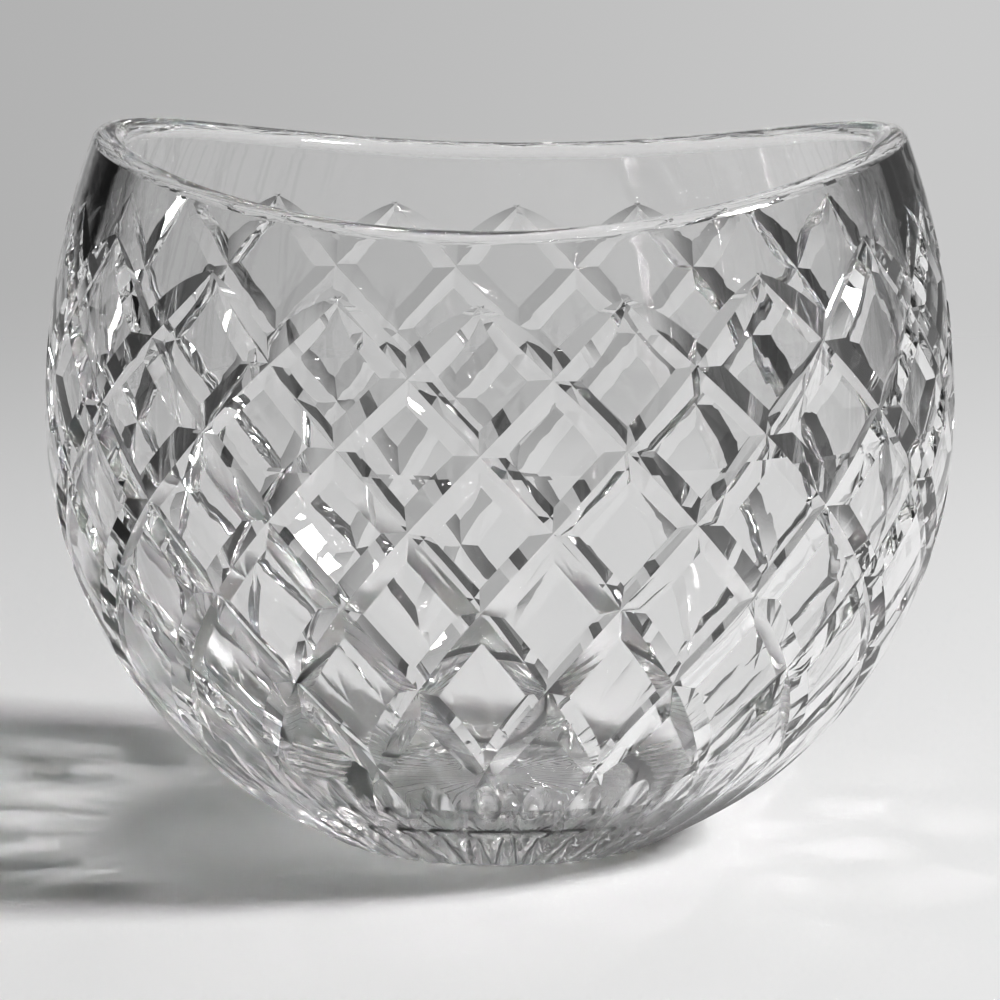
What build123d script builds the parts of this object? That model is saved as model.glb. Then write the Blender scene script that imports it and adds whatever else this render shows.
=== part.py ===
from build123d import *
import os
from math import asin, cos, degrees, radians, sin, sqrt, tan

# Rose bowl vase of clear cut glass: one blown ball, ground and polished.
# Millimetres, +Z up, origin at the centre of the foot.
# The two high ends of the rim lie along X, and the front of the bowl faces -Y.

# Blown ball, outside
widest_radius = 89.0
widest_height = 84.6
lower_bend = 91.0  # bend of the wall below the widest place
upper_bend = 155.0  # flatter bend above it, where the wall leans in to the mouth

# Blown ball, inside
wall = 6.6
floor_thickness = 13.0
floor_round = 26.0  # the floor turns up into the wall with this radius

# Saddle-shaped rim: high at both ends, dipped at the front and the back
rim_high = 141.0
rim_dip = 12.0
rim_round = 2.6  # polished edges of the rim

# Underside: a flat ring to stand on, round a shallow ground hollow
ring_width = 4.5
hollow_depth = 1.2

# Mitre-cut lattice: V grooves that climb both ways round the ball
columns = 18  # diamonds round the bowl
column_crowding = 3.5  # degrees by which columns draw together under the dips of the rim
rows = 6  # crossings on one groove after its lowest, each half a column further round
low_row_height = 25.5
top_row_gap = 13.5  # from the rim down to the highest crossing
climb_bulge = 0.04  # how far the middle of a groove lies above an even climb, as a share of the climb
mitre_angle = 136.0
right_mitre_depth = 1.5  # grooves that climb to the right, a little deeper
left_mitre_depth = 1.4
lift_low = 0.5  # the wheel starts to lift out here, in rows above the lowest crossing
lift_high = 5.35  # and here at the upper end
lift_rows = 0.7  # rows that it takes to lift clear, so that grooves end where they meet

# Foot flutes: short hollow cuts that run down to the foot's edge
flutes = 40
flute_round = 9.0  # rounded edge of the flute wheel
flute_bend = 160.0  # bend of the cut along its length
flute_top_height = 21.0
flute_foot_depth = 0.5  # how far in from the wall the cut's lower end is set

# Star under the foot: one lens-shaped ray to a flute
ray_inner_radius = 6.0
ray_ring_gap = 1.0  # from a ray's outer tip to the flat ring
ray_depth = 1.15
ray_angle = 100.0

margin = 4.0  # cutters stand this far clear of the glass
mitre_margin = 1.2  # and these less, because they lie close together
ray_margin = 0.6


def wall_point(z, inset=0.0):
    bend = lower_bend if z < widest_height else upper_bend
    return (widest_radius - bend + sqrt((bend - inset) ** 2 - (z - widest_height) ** 2), z)


pitch = 360 / columns
foot_radius = wall_point(0)[0]
hollow_radius = foot_radius - ring_width
hollow_bend = (hollow_radius**2 + hollow_depth**2) / (2 * hollow_depth)
blank_top = rim_high + margin
rim_low = rim_high - rim_dip
rim_end_radius = wall_point(rim_high)[0]
saddle_radius = (rim_end_radius**2 + rim_dip**2) / (2 * rim_dip)
saddle_height = rim_low + saddle_radius


def hollow_point(radius):
    return (radius, hollow_depth - hollow_bend + sqrt(hollow_bend**2 - radius**2))


def rim_height(azimuth):
    across = rim_end_radius * sin(radians(azimuth))
    return saddle_height - sqrt(saddle_radius**2 - across**2)


def on_wall(azimuth, z):
    # azimuth 0 is the front of the bowl, and it grows towards +X
    radius = wall_point(z)[0]
    return Vector(radius * sin(radians(azimuth)), -radius * cos(radians(azimuth)), z)


def wall_normal(azimuth, z):
    bend = lower_bend if z < widest_height else upper_bend
    out = (wall_point(z)[0] - widest_radius + bend) / bend
    return Vector(out * sin(radians(azimuth)), -out * cos(radians(azimuth)), (z - widest_height) / bend)


def wall_side(bottom, inset):
    waist = (widest_radius - inset, widest_height)
    ThreePointArc(wall_point(bottom, inset), wall_point((bottom + widest_height) / 2, inset), waist)
    ThreePointArc(waist, wall_point((widest_height + blank_top) / 2, inset), wall_point(blank_top, inset))


def blown_ball():
    with BuildPart() as ball:
        with BuildSketch(Plane.XZ):
            with BuildLine():
                wall_side(0, 0)
                Polyline(wall_point(blank_top), (0, blank_top), hollow_point(0))
                ThreePointArc(hollow_point(0), hollow_point(hollow_radius / 2), (hollow_radius, 0))
                Line((hollow_radius, 0), wall_point(0))
            make_face()
        revolve(axis=Axis.Z)
    return ball.part


def hollow_inside():
    with BuildPart() as inside:
        with BuildSketch(Plane.XZ):
            with BuildLine():
                wall_side(floor_thickness, wall)
                Polyline(wall_point(blank_top, wall), (0, blank_top), (0, floor_thickness))
                Line((0, floor_thickness), wall_point(floor_thickness, wall))
            make_face()
        revolve(axis=Axis.Z)
        floor_edge = inside.edges().filter_by(GeomType.CIRCLE).sort_by(Axis.Z)[0]
        fillet(floor_edge, floor_round)
    return inside.part


def cut_saddle_rim(bowl):
    mill = Cylinder(saddle_radius, 4 * widest_radius, rotation=(90, 0, 0))
    bowl = bowl - Pos(0, 0, saddle_height) * mill
    rim = bowl.faces().filter_by(GeomType.CYLINDER)[0]
    return fillet(rim.edges(), rim_round)


def v_face(tip, away, across, angle, reach):
    # outline of a V-edged wheel's edge, with its point at tip and its open side away from the glass
    half_width = reach * tan(radians(angle / 2))
    corners = [tip, tip + away * reach + across * half_width, tip + away * reach - across * half_width]
    return Face(Wire.make_polygon(corners, close=True))


def groove_place(column, side, row):
    # azimuth and height on the wall, in rows above the lowest crossing
    turn = (column + side * row / 2) * pitch
    azimuth = turn - column_crowding * sin(radians(2 * turn))
    share = row / rows
    climb = rim_low - top_row_gap - low_row_height
    rise = rim_height(azimuth) - rim_low
    climbed = climb * (share + 4 * climb_bulge * share * (1 - share))
    return azimuth, low_row_height + climbed + rise * share**2


def mitre_cutter(column, side, depth):
    # V-edged wheel led up the wall, square to it, and lifted out at both ends.
    # side is +1 to climb to the right and -1 to the left.
    lifts = (0.7 * lift_rows, 1.3 * lift_rows)
    low_end = [lift_low - lift for lift in reversed(lifts)]
    high_end = [lift_high + lift for lift in lifts]
    edges = []
    for row in low_end + [lift_low, *range(1, rows), lift_high] + high_end:
        past = max(lift_low - row, row - lift_high, 0) / lift_rows
        place = groove_place(column, side, row)
        normal = wall_normal(*place)
        before, after = [on_wall(*groove_place(column, side, row + step)) for step in (-0.05, 0.05)]
        along = after - before
        across = normal.cross(along).normalized()
        tip = on_wall(*place) - normal * depth * (1 - past**2)
        edges.append(v_face(tip, normal, across, mitre_angle, depth + mitre_margin))
    return loft(edges)


def flute_cutter():
    # Round-edged wheel drawn down the wall to the foot, in the plane of X and Z.
    top_radius, top_z = wall_point(flute_top_height)
    top = Vector(top_radius, 0, top_z)
    foot = Vector(foot_radius, 0, 0)
    inward = Vector(0, -1, 0).cross(top - foot).normalized()
    foot = foot + inward * flute_foot_depth
    half_chord = (top - foot).length / 2
    centre = (top + foot) / 2 + inward * sqrt(flute_bend**2 - half_chord**2)
    spread = degrees(asin((half_chord + 2 * margin) / flute_bend))
    swing = Axis(centre, (0, 1, 0))
    across_cut = Plane(centre - inward * (flute_bend + flute_round), x_dir=(0, 1, 0), z_dir=top - foot)
    edge = (across_cut * Circle(flute_round)).rotate(swing, -spread)
    return revolve(edge, swing, 2 * spread)


def ray_cutter():
    # V-edged wheel pressed up into the hollow under the foot, in the plane of X and Z.
    inner_radius, inner_z = hollow_point(ray_inner_radius)
    outer_radius, outer_z = hollow_point(hollow_radius - ray_ring_gap)
    inner = Vector(inner_radius, 0, inner_z)
    outer = Vector(outer_radius, 0, outer_z)
    upward = Vector(0, -1, 0).cross(outer - inner).normalized()
    half_chord = (outer - inner).length / 2
    wheel_radius = (half_chord**2 + ray_depth**2) / (2 * ray_depth)
    tip = (inner + outer) / 2 + upward * ray_depth
    swing = Axis(tip - upward * wheel_radius, (0, 1, 0))
    spread = degrees(asin((half_chord + ray_margin) / wheel_radius))
    edge = v_face(tip, upward * -1, Vector(0, 1, 0), ray_angle, ray_depth + ray_margin)
    return revolve(edge.rotate(swing, -spread), swing, 2 * spread)


def around(cutter, first, step):
    return [Rot(0, 0, turn * 360 / flutes) * cutter for turn in range(first, flutes, step)]


bowl = cut_saddle_rim(blown_ball() - hollow_inside())

# every other ray and flute first, because neighbours run close together
for cutter in (ray_cutter(), flute_cutter()):
    bowl = bowl - around(cutter, 0, 2)
    bowl = bowl - around(cutter, 1, 2)

bowl = bowl - [mitre_cutter(column, 1, right_mitre_depth) for column in range(columns)]
bowl = bowl - [mitre_cutter(column, -1, left_mitre_depth) for column in range(columns)]

os.makedirs("parts", exist_ok=True)
export_step(bowl, "parts/cut_glass_bowl.step")
print("cut_glass_bowl", round(bowl.volume / 1000), "cm3", len(bowl.faces()), "faces", bowl.is_valid)
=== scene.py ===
import math

import bpy
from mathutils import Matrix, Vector

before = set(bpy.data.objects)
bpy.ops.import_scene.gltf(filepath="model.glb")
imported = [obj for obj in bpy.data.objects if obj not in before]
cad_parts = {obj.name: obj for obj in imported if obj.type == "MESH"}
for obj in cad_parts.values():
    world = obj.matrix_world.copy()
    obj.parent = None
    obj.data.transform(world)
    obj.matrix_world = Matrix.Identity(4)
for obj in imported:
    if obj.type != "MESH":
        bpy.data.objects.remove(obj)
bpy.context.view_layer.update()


class Term:
    # one value inside a shader, so that its sums read as plain Python

    def __init__(self, graph, socket):
        self.graph = graph
        self.socket = socket

    def maths(self, operation, *values):
        return self.graph.node("ShaderNodeMath", {"operation": operation}, *values)["Value"]

    def __add__(self, other):
        return self.maths("ADD", self, other)

    def __radd__(self, other):
        return self.maths("ADD", other, self)

    def __sub__(self, other):
        return self.maths("SUBTRACT", self, other)

    def __rsub__(self, other):
        return self.maths("SUBTRACT", other, self)

    def __mul__(self, other):
        return self.maths("MULTIPLY", self, other)

    def __rmul__(self, other):
        return self.maths("MULTIPLY", other, self)

    def __pow__(self, other):
        return self.maths("POWER", self, other)

    def __abs__(self):
        return self.maths("ABSOLUTE", self)

    def cosine(self):
        return self.maths("COSINE", self)

    def turnFrom(self, x):
        # angle round the bowl's axis of a point whose y is this value
        return self.maths("ARCTAN2", self, x)

    def smooth(self, start, end):
        # 0 before start, 1 after end
        limits = {"From Min": start, "From Max": end}
        settings = {"interpolation_type": "SMOOTHSTEP"}
        return self.graph.node("ShaderNodeMapRange", settings, Value=self, **limits)["Result"]


class Graph:
    # the node tree of one material or of the world

    def __init__(self, tree):
        self.tree = tree
        tree.nodes.clear()

    def plug(self, slot, value):
        if isinstance(value, Term):
            self.tree.links.new(value.socket, slot)
        else:
            slot.default_value = value

    def node(self, kind, settings=None, *inOrder, **named):
        # any node: settings first, then socket values or links, in order or by socket name
        node = self.tree.nodes.new(kind)
        for name, value in (settings or {}).items():
            setattr(node, name, value)
        for slot, value in zip(node.inputs, inOrder):
            self.plug(slot, value)
        for name, value in named.items():
            self.plug(node.inputs[name], value)
        return {out.name: Term(self, out) for out in node.outputs}

    def noise(self, place, **named):
        return self.node("ShaderNodeTexNoise", Vector=place, **named)["Fac"]

    def axes(self, vector):
        split = self.node("ShaderNodeSeparateXYZ", Vector=vector)
        return split["X"], split["Y"], split["Z"]


def newMaterial(name):
    mat = bpy.data.materials.new(name)
    mat.use_nodes = True
    return mat, Graph(mat.node_tree)


# clear cut glass, lengths in metres
glass = {
    "ior": 1.54,
    "tint": (0.978, 0.978, 0.978, 1),
    "polish": 0.006,  # roughness of a clean polished cut
    "smear": 0.012,  # faint smears left by hands add this to it
    "smearNoise": {"Scale": 140.0, "Detail": 4.0, "Roughness": 0.6},
    "smearPatches": (0.5, 0.8),  # noise levels between which a smear comes in
    "wear": 0.5,  # scratches on the ground foot ring add this
    "scratchNoise": {"Scale": 2600.0, "Detail": 2.0},
    "scratchLines": (0.35, 0.6),
    "wearHeights": (0.00018, 0.0006),  # and fade out between these heights
    "ripple": 0.000035,  # depth of the slow waves left by the polish
    "rippleNoise": {"Scale": 62.5, "Detail": 1.0},
    "flutes": 40,  # hollows that deepen the look of the solid's own foot flutes
    "fluteDepth": 0.0012,
    "fluteHeights": (0.00735, 0.021),  # full depth below the first, none above the second
    "wallLean": 1.3, "wallOutside": (0.029, 0.031),  # radius less lean x height tells outside from inside
}


def makeGlass():
    mat, g = newMaterial("clearCutGlass")
    place = g.node("ShaderNodeTexCoord")["Object"]
    x, y, z = g.axes(place)
    smear = g.noise(place, **glass["smearNoise"]).smooth(*glass["smearPatches"])
    scratch = g.noise(place, **glass["scratchNoise"]).smooth(*glass["scratchLines"])
    foot = 1 - z.smooth(*glass["wearHeights"])
    rough = glass["polish"] + glass["smear"] * smear + glass["wear"] * foot * scratch

    hollow = abs((y.turnFrom(x) * (glass["flutes"] / 2)).cosine())  # round in the middle, sharp between two
    outside = ((x * x + y * y) ** 0.5 - glass["wallLean"] * z).smooth(*glass["wallOutside"])
    low = 1 - z.smooth(*glass["fluteHeights"])
    waves = g.noise(place, **glass["rippleNoise"])
    height = waves * glass["ripple"] - hollow * outside * low * glass["fluteDepth"]
    bump = g.node("ShaderNodeBump", Height=height, Distance=1.0, Strength=1.0)

    clear = {"Base Color": glass["tint"], "IOR": glass["ior"], "Transmission Weight": 1.0}
    bsdf = g.node("ShaderNodeBsdfPrincipled", Roughness=rough, Normal=bump["Normal"], **clear)
    g.node("ShaderNodeOutputMaterial", Surface=bsdf["BSDF"])
    return mat


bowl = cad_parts["cut_glass_bowl"]
bowl.data.materials.clear()
bowl.data.materials.append(makeGlass())
print("glass on", bowl.name, len(bowl.data.polygons), "faces")


# floor, which fades into the backdrop between these distances from the bowl
floor = {"size": 6.0, "colour": (0.8, 0.8, 0.8, 1), "fade": (0.3, 1.0)}


def makeFloor():
    bpy.ops.mesh.primitive_plane_add(size=floor["size"])
    obj = bpy.context.object
    obj.name = "studioFloor"
    mat, g = newMaterial("paleFloor")
    x, y = g.axes(g.node("ShaderNodeTexCoord")["Object"])[:2]
    away = (x * x + y * y) ** 0.5
    paper = g.node("ShaderNodeBsdfDiffuse", Color=floor["colour"])["BSDF"]
    clear = g.node("ShaderNodeBsdfTransparent")["BSDF"]
    surface = g.node("ShaderNodeMixShader", None, away.smooth(*floor["fade"]), paper, clear)["Shader"]
    g.node("ShaderNodeOutputMaterial", Surface=surface)
    obj.data.materials.append(mat)


makeFloor()
print("floor laid")


# paper backdrop behind the bowl, a dark room to both sides of it and a dim ceiling
# directions are sines of angles: from left to right, from front to back and from low to high
studio = {
    "left": 0.42, "right": 0.69, "turnOver": 0.2,  # paper, brighter towards the key light
    "far": 0.24, "farSides": (0.02, 0.26),  # and dim again at the far right
    "edges": (-0.32, 0.18), "top": 0.12, "behind": (0.0, 0.3),  # where the paper hangs
    "soft": 0.05,  # half the width of a soft edge
    "roomLeft": 0.008, "roomRight": 0.05,
    "horizon": -0.06,  # below this the table shows
    "ceiling": 0.07, "ceilingHeights": (0.35, 0.7), "ceilingSides": (-0.5, 0.2),
}


def makeWorld():
    world = bpy.data.worlds.new("studio")
    bpy.context.scene.world = world
    world.use_nodes = True
    g = Graph(world.node_tree)
    side, depth, height = g.axes(g.node("ShaderNodeTexCoord")["Generated"])

    def past(value, edge):
        return value.smooth(edge - studio["soft"], edge + studio["soft"])

    lit = side.smooth(-studio["turnOver"], studio["turnOver"])
    behind = depth.smooth(*studio["behind"])
    paper = studio["left"] + (studio["right"] - studio["left"]) * lit
    paper = paper - (studio["right"] - studio["far"]) * side.smooth(*studio["farSides"]) * behind
    room = studio["roomLeft"] + (studio["roomRight"] - studio["roomLeft"]) * lit
    leftEdge, rightEdge = studio["edges"]
    sheet = past(side, leftEdge) * (1 - past(side, rightEdge)) * (1 - past(height, studio["top"])) * behind
    table = 1 - past(height, studio["horizon"])
    pale = 1 - (1 - sheet) * (1 - table)
    ceiling = studio["ceiling"] * height.smooth(*studio["ceilingHeights"])
    ceiling = ceiling * side.smooth(*studio["ceilingSides"])
    level = paper * pale + room * (1 - pale) + ceiling
    background = g.node("ShaderNodeBackground", Color=level, Strength=1.0)
    g.node("ShaderNodeOutputWorld", Surface=background["Background"])


makeWorld()
print("studio hung")


# camera at the photograph's place
view = {
    "lens": 216.0, "sensor": 36.0, "nearest": 0.01,
    "distance": 1.18, "elevation": 9.2, "turn": 2.4, "aimHeight": 0.0666,
}


def makeCamera():
    data = bpy.data.cameras.new("photoCamera")
    data.lens = view["lens"]
    data.sensor_width = view["sensor"]
    data.sensor_fit = "HORIZONTAL"
    data.clip_start = view["nearest"]
    cam = bpy.data.objects.new("photoCamera", data)
    bpy.context.scene.collection.objects.link(cam)
    turn, rise = math.radians(view["turn"]), math.radians(view["elevation"])
    away = Vector((math.sin(turn) * math.cos(rise), -math.cos(turn) * math.cos(rise), math.sin(rise)))
    cam.location = Vector((0, 0, view["aimHeight"])) + away * view["distance"]
    cam.rotation_euler = (-away).to_track_quat("-Z", "Y").to_euler()
    bpy.context.scene.camera = cam


makeCamera()


# soft key light from the right, a little in front
key = {"energy": 108.0, "size": 0.6, "place": (2.15, -0.45, 1.75), "aimHeight": 0.05}


def makeKeyLight():
    data = bpy.data.lights.new("keyLight", "AREA")
    data.energy = key["energy"]
    data.size = key["size"]
    lamp = bpy.data.objects.new("keyLight", data)
    bpy.context.scene.collection.objects.link(lamp)
    lamp.location = key["place"]
    aim = Vector((0, 0, key["aimHeight"]))
    lamp.rotation_euler = (aim - lamp.location).to_track_quat("-Z", "Y").to_euler()


makeKeyLight()
print("camera and key light set")

# cut glass passes light on by many inner reflections
paths = {
    "max_bounces": 32, "glossy_bounces": 24, "transmission_bounces": 32,
    "blur_glossy": 0.1, "sample_clamp_indirect": 65.0, "caustics_reflective": False,
}
for name, value in paths.items():
    setattr(bpy.context.scene.cycles, name, value)

bpy.context.scene.view_settings.view_transform = "Standard"
